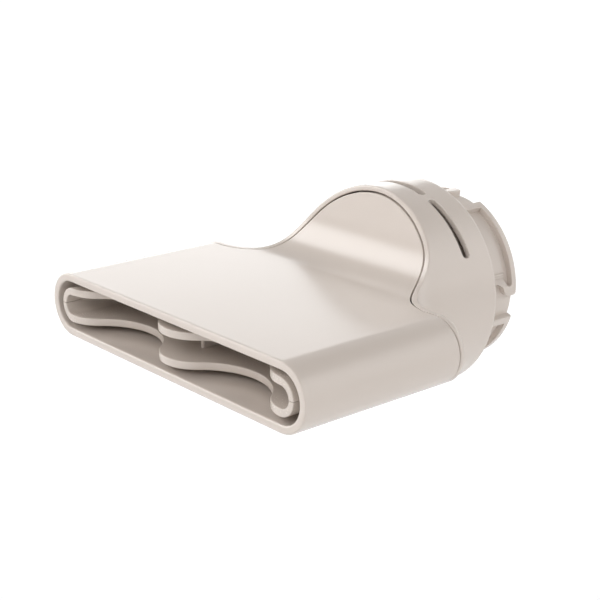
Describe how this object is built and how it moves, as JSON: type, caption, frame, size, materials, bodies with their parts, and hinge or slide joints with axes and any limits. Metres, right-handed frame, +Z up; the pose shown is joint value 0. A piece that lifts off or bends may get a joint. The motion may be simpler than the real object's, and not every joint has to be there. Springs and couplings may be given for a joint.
{
  "type": "hair dryer concentrator nozzle",
  "caption": "Flat double-walled air concentrator nozzle on a round bayonet collar with vent slots, for a slim hair dryer.",
  "frame": {"origin": "centre of the seat plane that meets the dryer's barrel", "axes": "+Y along the air axis towards the dryer, the flat mouth faces -Y; +X along the mouth's width; +Z up"},
  "size_m": [0.08, 0.0771, 0.045],
  "materials": {
    "shell_plastic": "satin",
    "collar_plastic": "satin",
    "base_plastic": "satin",
    "duct_plastic": "satin"
  },
  "bodies": {
    "root": {"nozzle_shell": "shell_plastic", "rear_collar": "collar_plastic", "bayonet_base": "base_plastic", "inner_duct_upper": "duct_plastic", "inner_duct_lower": "duct_plastic"}
  },
  "joints": []
}
